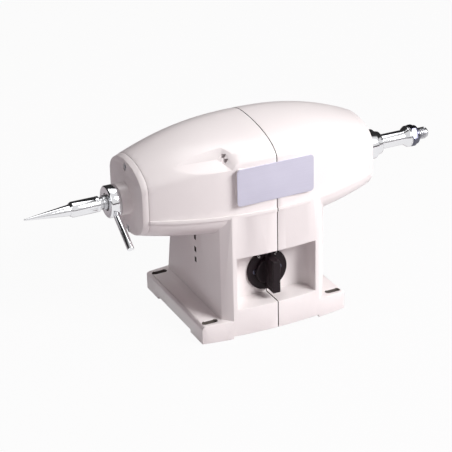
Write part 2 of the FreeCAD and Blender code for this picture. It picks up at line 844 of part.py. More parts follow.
def ejector_lever():
    rod = lever_rod(lever_root, lever_reach)
    tip = max(rod.Edges, key=lambda e: (e.CenterOfMass - vec(0, 0, spindle_z)).Length)
    return rod.makeFillet(edge_break, [tip])


def ejector_ring():
    x0, x1 = -ejector_ring_start_x, -ejector_ring_end_x
    ring = tube_x(ejector_ring_radius, spigot_radius + running_gap, x0, x1)
    top = spindle_z + ejector_ring_radius + cutter_overrun
    return ring.cut(rod_z(ejector_pin_radius, spindle_z, top, -ejector_pin_x, 0))


def ejector_pin():
    foot_z = spindle_z + spigot_radius + running_gap + 2 * fit
    return rod_z(ejector_pin_radius, foot_z, spindle_z + ejector_pin_tip, -ejector_pin_x, 0)


def chuck_sleeve():
    groove_x0, groove_x1 = chuck_groove_x - chuck_groove_size, chuck_groove_x + chuck_groove_size
    bottom_x = spigot_end_x + running_gap
    return turned([
        (-chuck_start_x, spigot_radius + fit), (-chuck_start_x, chuck_radius),
        (-groove_x0, chuck_radius), (-groove_x0, chuck_radius - chuck_groove_size),
        (-groove_x1, chuck_radius - chuck_groove_size), (-groove_x1, chuck_radius),
        (-chuck_bevel_x, chuck_radius), (-chuck_end_x, chuck_nose_radius),
        (-chuck_end_x, cone_shank_radius), (-cone_shank_end_x, cone_shank_radius),
        (-cone_shank_end_x, 0), (-bottom_x, 0), (-bottom_x, spigot_radius + fit),
    ])


def buff_cone():
    return turned([
        (-cone_shank_end_x, 0), (-cone_shank_end_x, cone_shank_radius), (-chuck_end_x, cone_shank_radius),
        (-chuck_end_x, cone_radius), (-cone_tip_x + cone_tip_radius, cone_tip_radius),
        (-cone_tip_x, 0.5 * cone_tip_radius), (-cone_tip_x, 0),
    ])


def dust_collar():
    return turned([
        (collar_start_x, shaft_radius), (collar_start_x, dust_collar_radius - edge_break),
        (collar_start_x + edge_break, dust_collar_radius),
        (dust_collar_step_x - dust_collar_bevel, dust_collar_radius),
        (dust_collar_step_x, dust_collar_nose_radius + dust_collar_bevel),
        (inner_flange_start_x - edge_break, dust_collar_nose_radius),
        (inner_flange_start_x, dust_collar_nose_radius - edge_break), (inner_flange_start_x, shaft_radius),
    ])


def inner_flange():
    return turned([
        (inner_flange_start_x, arbor_radius), (inner_flange_start_x, shaft_radius),
        (flange_cone_x, shaft_radius), (flange_rim_x, flange_radius),
        (inner_flange_end_x, flange_radius), (inner_flange_end_x, arbor_radius),
    ])


def outer_flange():
    bore = arbor_radius + fit
    return turned([
        (outer_flange_x, bore), (outer_flange_x, flange_radius),
        (outer_flange_end_x - edge_break / 2, flange_radius),
        (outer_flange_end_x, flange_radius - edge_break / 2), (outer_flange_end_x, bore),
    ])


def arbor_nut():
    """Hexagon nut with chamfered corners and a turned face on its outer side."""
    hexagon = hex_prism_x(nut_across_flats, nut_x, nut_face_x)
    corner = nut_across_flats / math.sqrt(3.0)
    rounding = turned([
        (nut_x, 0), (nut_x, corner - nut_bevel), (nut_x + nut_bevel, corner),
        (nut_face_x - nut_bevel, corner), (nut_face_x, corner - nut_bevel), (nut_face_x, 0),
    ])
    ring = rod_x(lock_ring_radius, nut_face_x, nut_end_x)
    rim = [e for e in ring.Edges if abs(e.CenterOfMass.x - nut_end_x) < 0.01]
    ring = ring.makeFillet(edge_break, rim)
    bore = rod_x(arbor_radius + fit, nut_x - cutter_overrun, nut_end_x + cutter_overrun)
    return hexagon.common(rounding).fuse(ring).cut(bore)


def slot_boxes(width, inner, outer, half):
    """Radial bars round the spindle, one for each stator slot."""
    bars = []
    for k in range(stator_slots):
        bar = box(-half, half, inner, outer, spindle_z - width / 2, spindle_z + width / 2)
        bar.rotate(vec(0, 0, spindle_z), vec(1, 0, 0), 360.0 * k / stator_slots)
        bars.append(bar)
    return bars


def stator_core():
    core = tube_x(stator_radius, stator_bore, -core_half_length, core_half_length)
    half = core_half_length + cutter_overrun
    return core.cut(slot_boxes(slot_opening, stator_bore - cutter_overrun, slot_outer_radius, half))


def stator_windings():
    width = slot_opening - 2 * slot_liner
    inner, outer = end_turn_inner + slot_liner, slot_outer_radius - slot_liner
    bars = slot_boxes(width, inner, outer, core_half_length + slot_liner + end_turn_edge)
    turns = []
    for side in (-1, 1):
        x0 = side * (core_half_length + slot_liner)
        turn = tube_x(end_turn_outer, end_turn_inner, x0, x0 + side * end_turn_length)
        rims = [e for e in turn.Edges if abs(e.CenterOfMass.x - x0 - side * end_turn_length) < 0.01]
        turns.append(turn.makeFillet(end_turn_edge, rims))
    return turns[0].fuse([turns[1]] + bars)


def rotor_core():
    return tube_x(rotor_radius, rotor_seat_radius, -core_half_length, core_half_length)


def rotor_rings():
    rings = []
    for side in (-1, 1):
        x0 = side * core_half_length
        ring = tube_x(rotor_ring_radius, rotor_ring_bore, x0, x0 + side * rotor_ring_length)
        rings.append(ring)
    return rings


def cooling_fan():
    hub = tube_x(fan_hub_radius, shaft_mid_radius, fan_x, fan_x + fan_width)
    root = (fan_hub_radius + shaft_mid_radius) / 2
    plate = tube_x(fan_radius, root, fan_x, fan_x + fan_blade_thickness)
    blades = []
    half = fan_blade_thickness / 2
    for k in range(fan_blades):
        blade = box(fan_x + half, fan_x + fan_width, root, fan_radius, spindle_z - half, spindle_z + half)
        blade.rotate(vec(0, 0, spindle_z), vec(1, 0, 0), 360.0 * k / fan_blades)
        blades.append(blade)
    return hub.fuse([plate] + blades)


def dial_plate():
    plate = rod_y(dial_radius, dial_front_y, switch_wall_y, 0, switch_z)
    rim = [e for e in plate.Edges if abs(e.CenterOfMass.y - dial_front_y) < 0.01]
    plate = plate.makeFillet(edge_break, rim)
    y0, y1 = dial_front_y - cutter_overrun, switch_wall_y + cutter_overrun
    holes = [rod_y(spindle_hole_radius, y0, y1, 0, switch_z)]
    for x in switch_screw_places:
        holes.append(rod_y(cover_screw_radius + 2 * fit, y0, y1, x, switch_z))
        holes.append(rod_y(cover_screw_head, y0, dial_front_y + dial_screw_head, x, switch_z))
    return plate.cut(holes)


def dial_screws():
    screws = []
    seat_y = dial_front_y + dial_screw_head
    end_y = switch_wall_y + wall + dial_screw_grip
    for x in switch_screw_places:
        head = rod_y(cover_screw_head - 4 * fit, dial_front_y + running_gap, seat_y, x, switch_z)
        shank = rod_y(cover_screw_radius, seat_y, end_y, x, switch_z)
        screws.append(head.fuse(shank))
    return screws


def switch_knob():
    """Round skirt with a raised grip bar."""
    back = dial_front_y - running_gap
    skirt = rod_y(knob_skirt_radius, knob_front_y, back, 0, switch_z)
    rim = [e for e in skirt.Edges if abs(e.CenterOfMass.y - knob_front_y) < 0.01]
    skirt = skirt.makeFillet(knob_edge, rim)
    half_w, half_h = grip_width / 2, grip_height / 2
    root = (knob_front_y + back) / 2
    grip = box(-half_w, half_w, -grip_front_reach, root, switch_z - half_h, switch_z + half_h)
    grip = grip.makeFillet(grip_edge, [e for e in grip.Edges if e.CenterOfMass.y < root - grip_edge])
    socket = rod_y(switch_spindle_radius, knob_front_y, back + cutter_overrun, 0, switch_z)
    return skirt.fuse(grip).cut(socket)


def switch_spindle():
    return rod_y(switch_spindle_radius, knob_front_y, switch_wall_y + wall + spindle_depth, 0, switch_z)


def switch_body():
    y0 = switch_wall_y + wall
    half = switch_body_size / 2
    block = box(-half, half, y0, y0 + switch_body_depth, switch_z - half, switch_z + half)
    block = block.makeFillet(switch_body_edge, [e for e in block.Edges if e.CenterOfMass.y > y0 + wall])
    bottom = y0 + spindle_depth + running_gap
    holes = [rod_y(switch_spindle_radius + fit, y0 - cutter_overrun, bottom, 0, switch_z)]
    screw_end = y0 + dial_screw_grip + head_clearance
    for x in switch_screw_places:
        holes.append(rod_y(cover_screw_radius, y0 - cutter_overrun, screw_end, x, switch_z))
    return block.cut(holes)


def nameplate():
    x0, x1 = plate_centre_x - plate_width / 2, plate_centre_x + plate_width / 2
    z0, z1 = plate_centre_z - plate_height / 2, plate_centre_z + plate_height / 2
    plate = box(x0, x1, plate_seat_y - plate_thickness, plate_seat_y, z0, z1)
    corners = [e for e in plate.Edges if abs(e.tangentAt(e.FirstParameter).y) > 0.9]
    return plate.makeFillet(plate_corner, corners)


def nameplate_pad():
    margin = plate_pad_margin
    x0, x1 = plate_centre_x - plate_width / 2 + margin, plate_centre_x + plate_width / 2 - margin
    z0, z1 = plate_centre_z - plate_height / 2 + margin, plate_centre_z + plate_height / 2 - margin
    pad = box(x0, x1, plate_seat_y, base_front_y + plate_pad_depth, z0, z1)
    corners = [e for e in pad.Edges if abs(e.tangentAt(e.FirstParameter).y) > 0.9]
    return pad.makeFillet(plate_corner - margin, corners)


def bottom_cover():
    z0 = cover_top_z - cover_thickness
    plate = box(-cover_half_x, cover_half_x, cover_front_y, cover_rear_y, z0, cover_top_z)
    for x, y in cover_screw_places():
        hole = rod_z(cover_screw_radius + screw_clearance, 0, cover_top_z + cutter_overrun, x, y)
        plate = plate.cut(hole)
    return plate


def cover_screws():
    screws = []
    seat = cover_top_z - cover_thickness
    for x, y in cover_screw_places():
        shank = rod_z(cover_screw_radius, seat, seat + cover_screw_length, x, y)
        head = rod_z(cover_screw_head, seat - cover_head_height, seat, x, y)
        screws.append(shank.fuse(head))
    return screws


def run_capacitor():
    half = capacitor_length / 2
    can = rod_x(capacitor_radius, -half, half, capacitor_y, capacitor_z)
    can = can.makeFillet(capacitor_edge, [e for e in can.Edges if abs(abs(e.CenterOfMass.x) - half) < 0.1])
    half_thick, half_tall = capacitor_tag_thickness / 2, capacitor_tag_height / 2
    tags = []
    for offset in (-capacitor_tag_offset, capacitor_tag_offset):
        y = capacitor_y + offset
        z0, z1 = capacitor_z - half_tall, capacitor_z + half_tall
        tags.append(box(half, half + capacitor_tag_length, y - half_thick, y + half_thick, z0, z1))
    return can.fuse(tags)


def capacitor_clamp():
    """Strap saddle that holds the capacitor down on the bottom cover."""
    half = clamp_width / 2
    outer = capacitor_radius + clamp_thickness
    wide = outer + clamp_lug
    ring = rod_x(outer, -half, half, capacitor_y, capacitor_z)
    z0 = cover_top_z
    foot = box(-half, half, capacitor_y - wide, capacitor_y + wide, z0, z0 + clamp_thickness)
    post = box(-half, half, capacitor_y - half, capacitor_y + half, z0, capacitor_z)
    bore = rod_x(capacitor_radius, -half - cutter_overrun, half + cutter_overrun, capacitor_y, capacitor_z)
    return ring.fuse([foot, post]).cut(bore)


def terminal_places():
    return [terminal_length * ((k + 0.5) / terminal_ways - 0.5) for k in range(terminal_ways)]


def terminal_block():
    half = terminal_length / 2
    y0 = terminal_y - terminal_width / 2
    block = box(-half, half, y0, y0 + terminal_width, cover_top_z, terminal_top_z)
    z0, z1 = terminal_top_z - terminal_well, terminal_top_z + cutter_overrun
    well = terminal_screw_radius + 2 * fit
    return block.cut([rod_z(well, z0, z1, x, terminal_y) for x in terminal_places()])


def terminal_screws():
    z0 = terminal_top_z - terminal_well
    z1 = z0 + terminal_screw_length
    return [rod_z(terminal_screw_radius, z0, z1, x, terminal_y) for x in terminal_places()]


def gland_hexagon(y0, length):
    prism = hex_prism_x(2 * gland_radius, 0, length, 0)
    prism.rotate(vec(0, 0, 0), vec(0, 0, 1), 90)
    return prism.translated(vec(gland_x, y0, gland_z))


def cable_gland():
    """Threaded gland body with a hexagon and a tapered cap, open for the cable."""
    y0 = gland_inner_y - gland_nut_length - gland_thread_stand
    cap_y = gland_seat_y + gland_hex_length
    end_y = cap_y + gland_cap_length
    thread = rod_y(gland_thread_radius, y0, gland_seat_y, gland_x, gland_z)
    mouth = gland_bore + gland_cap_wall
    cap = Part.makeCone(gland_radius, mouth, gland_cap_length, vec(gland_x, cap_y, gland_z), vec(0, 1, 0))
    bore = rod_y(gland_bore, y0 - cutter_overrun, end_y + cutter_overrun, gland_x, gland_z)
    return thread.fuse([gland_hexagon(gland_seat_y, gland_hex_length), cap]).cut(bore)


def gland_nut():
    y0 = gland_inner_y - gland_nut_length
    bore = rod_y(gland_thread_radius, y0 - cutter_overrun, gland_inner_y + cutter_overrun, gland_x, gland_z)
    return gland_hexagon(y0, gland_nut_length).cut(bore)


def wire(points):
    """Insulated lead through the given points, rounded at each bend."""
    places = [vec(*p) for p in points]
    pieces = []
    for a, b in zip(places, places[1:]):
        pieces.append(Part.makeCylinder(wire_radius, (b - a).Length, a, b - a))
    for bend in places[1:-1]:
        pieces.append(Part.makeSphere(wire_radius, bend))
    return pieces[0].fuse(pieces[1:]).removeSplitter()


def wiring_loom():
    """Leads from the switch, the capacitor and the windings down to the terminal block."""
    top = terminal_top_z
    row_y = terminal_y + terminal_width / 2 - wire_row_inset
    pitch = terminal_length / terminal_ways
    switch_floor = switch_z - switch_body_size / 2
    leads = [[(k * pitch, row_y, top), (k * pitch, row_y, switch_floor)] for k in (-1, 0, 1)]
    tag_x = capacitor_length / 2 + capacitor_tag_length
    for side, way, spread, rise in capacitor_leads:
        y = capacitor_y + side * capacitor_tag_offset
        start_x, outer_x = way * pitch, tag_x + spread
        leads.append([
            (start_x, row_y, top), (start_x, row_y, top + rise), (outer_x, 0, top + rise),
            (outer_x, y, capacitor_z), (tag_x, y, capacitor_z),
        ])
    winding_x = core_half_length + slot_liner + end_turn_length
    rise_x = -(motor_frame_half + wire_stand_off)
    winding_z = spindle_z - (end_turn_inner + end_turn_outer) / 2
    leads.append([
        (-2 * pitch, row_y, top), (-2 * pitch, row_y, top + wire_bend_height),
        (rise_x, wire_bend_y, top + wire_turn_height), (rise_x, 0, motor_frame_floor_z),
        (rise_x, 0, winding_z), (-winding_x, 0, winding_z),
    ])
    return [wire(points) for points in leads]


whole = housing()
save("housing_left", whole.common(half_space_x(0, towards_right=False)))
save("housing_right", whole.common(half_space_x(0)))
save("end_plate_left", end_plate(-1).fuse(ejector_neck()))
save("end_plate_right", end_plate(1))
save("end_screws_left", *end_screws(-1))
save("end_screws_right", *end_screws(1))
save("tie_bolts", *tie_bolts())
save("nameplate", nameplate())
save("bottom_cover", bottom_cover())
save("cover_screws", *cover_screws())
save("motor_frame", tube_x(motor_frame_radius, stator_radius, -motor_frame_half, motor_frame_half))
save("stator_core", stator_core())
save("stator_windings", stator_windings())
save("rotor_core", rotor_core())
save("rotor_rings", *rotor_rings())
save("main_shaft", main_shaft())
save("cooling_fan", cooling_fan())
for side, label in ((-1, "left"), (1, "right")):
    save("bearing_outer_ring_" + label, bearing_ring(side, bearing_outer_land, bearing_outer_radius))
    save("bearing_inner_ring_" + label, bearing_ring(side, shaft_radius, bearing_inner_land))
    save("bearing_balls_" + label, *bearing_balls(side))
    save("ring_clip_" + label, ring_clip(side))
    save("shaft_seal_" + label, shaft_seal(side))
save("ejector_collar", ejector_collar())
save("ejector_lever", ejector_lever())
save("ejector_ring", ejector_ring())
save("ejector_pin", ejector_pin())
save("chuck_sleeve", chuck_sleeve())
save("buff_cone", buff_cone())
save("dust_collar", dust_collar())
save("inner_flange", inner_flange())
save("outer_flange", outer_flange())
save("arbor_nut", arbor_nut())
save("dial_plate", dial_plate())
save("dial_screws", *dial_screws())
save("switch_knob", switch_knob())
save("switch_spindle", switch_spindle())
save("switch_body", switch_body())
save("run_capacitor", run_capacitor())
save("capacitor_clamp", capacitor_clamp())
save("terminal_block", terminal_block())
save("terminal_screws", *terminal_screws())
save("cable_gland", cable_gland())
save("gland_nut", gland_nut())
save("wiring_loom", *wiring_loom())
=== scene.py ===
import json
import math

import bmesh
import bpy
from mathutils import Matrix, Vector


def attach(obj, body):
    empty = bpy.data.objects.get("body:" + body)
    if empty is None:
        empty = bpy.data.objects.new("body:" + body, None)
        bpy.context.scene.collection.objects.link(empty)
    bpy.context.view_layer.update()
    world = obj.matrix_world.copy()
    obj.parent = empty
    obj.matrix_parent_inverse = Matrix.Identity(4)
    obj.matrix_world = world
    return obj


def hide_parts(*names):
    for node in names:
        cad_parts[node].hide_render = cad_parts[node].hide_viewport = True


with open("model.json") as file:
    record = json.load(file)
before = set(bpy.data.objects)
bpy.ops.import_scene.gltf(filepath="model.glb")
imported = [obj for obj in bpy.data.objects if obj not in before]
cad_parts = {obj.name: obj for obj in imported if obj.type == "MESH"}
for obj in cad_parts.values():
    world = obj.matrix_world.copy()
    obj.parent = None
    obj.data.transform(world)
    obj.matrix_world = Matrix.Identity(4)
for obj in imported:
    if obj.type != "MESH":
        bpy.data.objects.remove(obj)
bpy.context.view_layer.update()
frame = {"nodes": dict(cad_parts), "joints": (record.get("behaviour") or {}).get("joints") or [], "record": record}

MM = 0.001
nodes = frame["nodes"]
body_of_node = {}
for body_name, members in frame["record"]["behaviour"]["bodies"].items():
    for member in members:
        body_of_node[member] = body_name
slot_of_node = {part["node"]: part["material_slot"] for part in frame["record"]["subparts"]}
mounts = {mount["name"]: mount for mount in frame["record"]["mounts"]}
slots = mounts["bench_slots"]["dims"]
arbor = mounts["wheel_arbor"]
spindle_z = arbor["pos_m"][2]

# Sizes of the modelled details
HOUSING_EDGE = 0.7 * MM
TURNED_EDGE = 0.35 * MM
SMALL_EDGE = 0.2 * MM
SEAM_HALF = 0.55 * MM
VENT_Y = -5.5 * MM
VENT_HALF_WIDTH = 2.5 * MM
VENT_INNER_X = 55.0 * MM
VENT_OUTER_X = 65.0 * MM
VENT_TOP_Z = 100.0 * MM
BASE_TOP_Z = 22.3 * MM
POCKET_FRONT_Y = -80.5 * MM
POCKET_BACK_Y = -53.5 * MM
POCKET_FLOOR_Z = 29.0 * MM
POCKET_TOP_Z = 96.0 * MM
BARREL_BELLY_Z = 105.0 * MM
BARREL_END_X = 125.0 * MM
REAR_FOOT_Y = 70.0 * MM
REAR_FOOT_HALF = 62.0 * MM
REAR_FOOT_RISE = 8.0 * MM
SEAM_EDGE_HALF = 1.3 * MM
SEAM_EDGE_SHARE = 0.3
SHARP_ANGLE = 32.0
THREAD_PITCH = 2.0 * MM
THREAD_DEPTH = 0.9 * MM
THREAD_TURNS = 6
NUMERAL_HEIGHT = 4.2 * MM
NUMERAL_RADIUS = 20.4 * MM
NUMERAL_RELIEF = 0.06 * MM

# View: the camera that fits the photograph, in degrees, metres and millimetres of lens
VIEW_AZIMUTH = -25.4
VIEW_ELEVATION = 25.78
VIEW_ROLL = -1.41
VIEW_AIM = Vector((-0.0218, 0.0, 0.0964))
VIEW_DISTANCE = 1.84
VIEW_LENS = 132.2


def reset_selection():
    bpy.ops.object.select_all(action="DESELECT")


def make_active(piece):
    reset_selection()
    piece.select_set(True)
    bpy.context.view_layer.objects.active = piece


class Field:
    """A shader socket that takes part in Python arithmetic."""

    def __init__(self, finish, socket):
        self.finish = finish
        self.socket = socket

    def combine(self, operation, first, second):
        return self.finish.node("ShaderNodeMath", {"operation": operation}, [first, second])

    def __add__(self, other):
        return self.combine("ADD", self, other)

    def __rsub__(self, other):
        return self.combine("SUBTRACT", other, self)

    def __mul__(self, other):
        return self.combine("MULTIPLY", self, other)

    __radd__ = __add__
    __rmul__ = __mul__

    def above(self, level, softness):
        """0 below the level and 1 above it, with a soft step between."""
        return self.finish.node("ShaderNodeMapRange", {"interpolation_type": "SMOOTHSTEP"}, {
            "Value": self, "From Min": level - softness, "From Max": level + softness})


class Finish:
    """One material: a Principled shader whose sockets are fed by fields."""

    def __init__(self, name, color, roughness, metallic=0.0, **fixed):
        self.material = bpy.data.materials.new(name)
        self.material.use_nodes = True
        self.tree = self.material.node_tree
        self.shader = self.tree.nodes["Principled BSDF"]
        self.feed(self.shader, "Base Color", (*color, 1.0))
        self.feed(self.shader, "Roughness", roughness)
        self.feed(self.shader, "Metallic", metallic)
        for label, value in fixed.items():
            self.feed(self.shader, label.replace("_", " ").title().replace("Ior", "IOR"), value)

    def feed(self, node, label, value):
        if isinstance(value, Field):
            self.tree.links.new(value.socket, node.inputs[label])
        else:
            node.inputs[label].default_value = value

    def node(self, kind, settings=None, values=None, output=0):
        made = self.tree.nodes.new(kind)
        for label, setting in (settings or {}).items():
            setattr(made, label, setting)
        pairs = values.items() if isinstance(values, dict) else enumerate(values or [])
        for label, value in pairs:
            self.feed(made, label, value)
        return Field(self, made.outputs[output])

    def place(self, scale=(1, 1, 1)):
        """Object coordinates in metres, stretched along the axes."""
        where = self.node("ShaderNodeTexCoord", output=3)
        return self.node("ShaderNodeMapping", {}, {"Vector": where, "Scale": scale})

    def noise(self, scale, detail=2.0, stretch=(1, 1, 1)):
        values = {"Vector": self.place(stretch), "Scale": scale, "Detail": detail}
        return self.node("ShaderNodeTexNoise", {}, values)

    def mix(self, amount, first, second):
        first, second = (*first, 1.0), (*second, 1.0)
        made = self.tree.nodes.new("ShaderNodeMix")
        made.data_type = "RGBA"
        self.feed(made, 0, amount)
        self.feed(made, 6, first)
        self.feed(made, 7, second)
        return Field(self, made.outputs[2])

    def color(self, field):
        self.feed(self.shader, "Base Color", field)

    def roughness(self, field):
        self.feed(self.shader, "Roughness", field)

    def bump(self, height, distance, strength=1.0):
        values = {"Height": height, "Distance": distance, "Strength": strength}
        self.feed(self.shader, "Normal", self.node("ShaderNodeBump", {}, values))


def painted_finish():
    """Warm white stove enamel over the castings."""
    f = Finish("white_enamel", (0.89, 0.84, 0.83), 0.34, coat_weight=0.25, coat_roughness=0.12)
    cloud = f.noise(14.0, 3.0)
    f.color(f.mix(cloud, (0.87, 0.81, 0.805), (0.92, 0.87, 0.86)))
    f.roughness(f.noise(60.0, 2.0) * 0.10 + 0.28)
    f.bump(f.noise(620.0, 2.0) + f.noise(130.0, 1.0) * 0.8, 0.00010, 0.35)
    return f


def chrome_finish():
    """Polished chrome with faint turning marks along the spindle."""
    f = Finish("polished_chrome", (0.82, 0.82, 0.84), 0.08, metallic=1.0)
    rings = f.noise(5200.0, 2.0, stretch=(1, 0.004, 0.004))
    smear = f.noise(55.0, 3.0)
    f.color(f.mix(smear, (0.78, 0.78, 0.80), (0.88, 0.88, 0.90)))
    f.roughness(smear * 0.09 + rings * 0.05 + 0.03)
    f.bump(rings, 0.00001, 0.4)
    return f


def steel_finish():
    """Ground steel with crossing grinding marks."""
    f = Finish("ground_steel", (0.60, 0.60, 0.62), 0.32, metallic=1.0)
    grind = f.noise(2600.0, 3.0, stretch=(1, 0.05, 0.05))
    f.color(f.mix(f.noise(40.0, 3.0), (0.48, 0.48, 0.50), (0.66, 0.66, 0.68)))
    f.roughness(grind * 0.2 + 0.22)
    f.bump(grind, 0.00002, 0.5)
    return f


def aluminium_finish():
    f = Finish("bare_aluminium", (0.75, 0.76, 0.77), 0.38, metallic=1.0)
    drawn = f.noise(1800.0, 3.0, stretch=(0.03, 1, 1))
    f.color(f.mix(f.noise(30.0, 2.0), (0.66, 0.67, 0.68), (0.80, 0.81, 0.82)))
    f.roughness(drawn * 0.25 + 0.28)
    f.bump(drawn, 0.00002, 0.5)
    return f


def plate_finish():
    """Silver anodised plate, brushed along its length."""
    f = Finish("silver_plate", (0.62, 0.60, 0.72), 0.36, metallic=0.55)
    brushed = f.noise(2400.0, 4.0, stretch=(0.012, 1, 1))
    cloud = f.noise(45.0, 2.0)
    f.color(f.mix(brushed * 0.6 + cloud * 0.4, (0.56, 0.54, 0.66), (0.70, 0.68, 0.80)))
    f.roughness(brushed * 0.22 + 0.26)
    f.bump(brushed, 0.00002, 0.6)
    return f


def lamination_finish():
    """Stacked iron sheets, seen as thin bands along the spindle."""
    f = Finish("stacked_iron", (0.20, 0.20, 0.21), 0.5, metallic=0.8)
    wave = {"wave_type": "BANDS", "bands_direction": "X"}
    bands = f.node("ShaderNodeTexWave", wave, {"Vector": f.place(), "Scale": 320.0, "Distortion": 0.3}, 1)
    f.color(f.mix(bands, (0.10, 0.10, 0.11), (0.26, 0.26, 0.28)))
    f.roughness(bands * 0.2 + 0.4)
    f.bump(bands, 0.00008, 0.7)
    return f


def winding_finish():
    """Varnished copper wire."""
    f = Finish("varnished_copper", (0.55, 0.22, 0.08), 0.3, metallic=0.8, coat_weight=0.5)
    strands = f.noise(1500.0, 2.0, stretch=(0.15, 1, 1))
    f.color(f.mix(strands, (0.35, 0.12, 0.04), (0.70, 0.32, 0.13)))
    f.roughness(strands * 0.2 + 0.22)
    f.bump(strands, 0.0002, 0.8)
    return f


def rubber_finish():
    f = Finish("seal_rubber", (0.03, 0.03, 0.03), 0.7)
    grain = f.noise(1600.0, 2.0)
    f.color(f.mix(grain, (0.018, 0.018, 0.018), (0.045, 0.045, 0.045)))
    f.roughness(grain * 0.2 + 0.6)
    f.bump(grain, 0.00003, 0.5)
    return f


def black_plastic_finish():
    """Moulded black thermoset, fine grained."""
    f = Finish("black_plastic", (0.010, 0.006, 0.008), 0.45, specular_ior_level=0.2)
    grain = f.noise(2200.0, 2.0)
    smear = f.noise(70.0, 3.0)
    f.color(f.mix(smear, (0.007, 0.003, 0.004), (0.020, 0.012, 0.016)))
    f.roughness(grain * 0.12 + smear * 0.12 + 0.36)
    f.bump(grain, 0.00003, 0.4)
    return f


def grey_plastic_finish():
    f = Finish("grey_plastic", (0.45, 0.45, 0.42), 0.5)
    grain = f.noise(1500.0, 2.0)
    f.color(f.mix(f.noise(60.0, 2.0), (0.40, 0.40, 0.37), (0.50, 0.50, 0.47)))
    f.roughness(grain * 0.2 + 0.4)
    f.bump(grain, 0.00003, 0.4)
    return f


def wire_finish():
    f = Finish("wire_insulation", (0.06, 0.09, 0.30), 0.4)
    grain = f.noise(900.0, 2.0)
    f.color(f.mix(f.noise(35.0, 0.0).above(0.5, 0.02), (0.04, 0.07, 0.28), (0.30, 0.12, 0.04)))
    f.roughness(grain * 0.15 + 0.35)
    f.bump(grain, 0.00003, 0.3)
    return f


def painted_shade_finish():
    """Painted shade: a dull near-black finish standing for the shade inside the seam groove, the bench slots and
    the vents.
    """
    f = Finish("painted_hollow_shade", (0.10, 0.085, 0.08), 0.8)
    # Noise named dust here only mottles the tone of the painted shade.
    dust = f.noise(420.0, 3.0)
    f.color(f.mix(dust, (0.045, 0.035, 0.035), (0.16, 0.14, 0.12)))
    f.roughness(dust * 0.15 + 0.75)
    f.bump(dust, 0.00004, 0.5)
    return f


def black_steel_finish():
    """Blackened and polished steel of the arbor nut and the dial screws."""
    f = Finish("black_steel", (0.10, 0.10, 0.14), 0.25, metallic=1.0)
    grain = f.noise(1400.0, 2.0)
    f.color(f.mix(f.noise(90.0, 2.0), (0.07, 0.07, 0.10), (0.16, 0.16, 0.21)))
    f.roughness(grain * 0.15 + 0.18)
    f.bump(grain, 0.00002, 0.4)
    return f


def ink_finish():
    """White ink of the dial numerals, slightly worn."""
    f = Finish("white_ink", (0.80, 0.80, 0.80), 0.5)
    wear = f.noise(1800.0, 3.0)
    f.color(f.mix(wear, (0.55, 0.54, 0.54), (0.86, 0.86, 0.86)))
    f.roughness(wear * 0.2 + 0.45)
    f.bump(wear, 0.00002, 0.4)
    return f


finishes = {
    "painted_aluminium": painted_finish(),
    "chrome_steel": chrome_finish(),
    "steel": steel_finish(),
    "black_steel": black_steel_finish(),
    "bare_aluminium": aluminium_finish(),
    "silver_plate": plate_finish(),
    "lamination_iron": lamination_finish(),
    "copper_winding": winding_finish(),
    "seal_rubber": rubber_finish(),
    "black_plastic": black_plastic_finish(),
    "grey_plastic": grey_plastic_finish(),
    "wire_insulation": wire_finish(),
}
# Painted shade for the seam groove, the bench slots and the vents.
painted_hollow_shade = painted_shade_finish()
white_ink = ink_finish()


def dress(piece, finish):
    piece.data.materials.clear()
    piece.data.materials.append(finish.material)


def smooth(piece):
    make_active(piece)
    bpy.ops.object.shade_smooth_by_angle(angle=math.radians(30.0))


def apply_modifier(piece, kind, **settings):
    modifier = piece.modifiers.new(kind.lower(), kind)
    for label, value in settings.items():
        setattr(modifier, label, value)
    make_active(piece)
    bpy.ops.object.modifier_apply(modifier=modifier.name)


def settle(piece, name, node, finish=None):
    """Names a finished piece and gives it the body of its node and the finish of its node's slot, or the finish
    given.
    """
    piece.name = name
    piece.data.name = name
    dress(piece, finish or finishes[slot_of_node[node]])
    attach(piece, body_of_node[node])


def in_pocket(place):
    """Inside the switch pocket, where the two halves meet flush."""
    return POCKET_FRONT_Y < place.y < POCKET_BACK_Y and POCKET_FLOOR_Z < place.z < POCKET_TOP_Z


def on_barrel(place):
    """On the barrel between its end faces, where the raised pads run out into the curve."""
    return place.z > BARREL_BELLY_Z and abs(place.x) < BARREL_END_X


def on_rear_foot(place):
    """Behind the pedestal, where it runs down into the base plate."""
    low_enough = place.z < BASE_TOP_Z + REAR_FOOT_RISE
    return low_enough and place.y > REAR_FOOT_Y and abs(place.x) < REAR_FOOT_HALF


def on_vented_side(place):
    """On a side of the pedestal, around its three small vents."""
    return abs(place.x) > VENT_INNER_X - 3 * MM and BASE_TOP_Z < place.z < BARREL_BELLY_Z


def edge_share(place):
    """How much of the edge width an edge can take: none on the blends, little beside the seam groove."""
    if on_barrel(place) or on_rear_foot(place) or on_vented_side(place):
        return 0.0
    near_seam = abs(place.x) < SEAM_EDGE_HALF
    return SEAM_EDGE_SHARE if near_seam and not in_pocket(place) else 1.0


def mark_edges(piece):
    """Bevel weights for the sharp edges."""
    mesh = bmesh.new()
    mesh.from_mesh(piece.data)
    weight = mesh.edges.layers.float.new("bevel_weight_edge")
    for edge in mesh.edges:
        if len(edge.link_faces) == 2 and edge.calc_face_angle() > math.radians(SHARP_ANGLE):
            edge[weight] = edge_share((edge.verts[0].co + edge.verts[1].co) / 2)
    mesh.to_mesh(piece.data)
    mesh.free()


def pull_back(piece, source, reach):
    """Returns the few corners that a bevel threw off to the solid's own surface."""
    for corner in piece.data.vertices:
        found, nearest, normal, face = source.closest_point_on_mesh(corner.co)
        if found and (nearest - corner.co).length > reach:
            corner.co = nearest


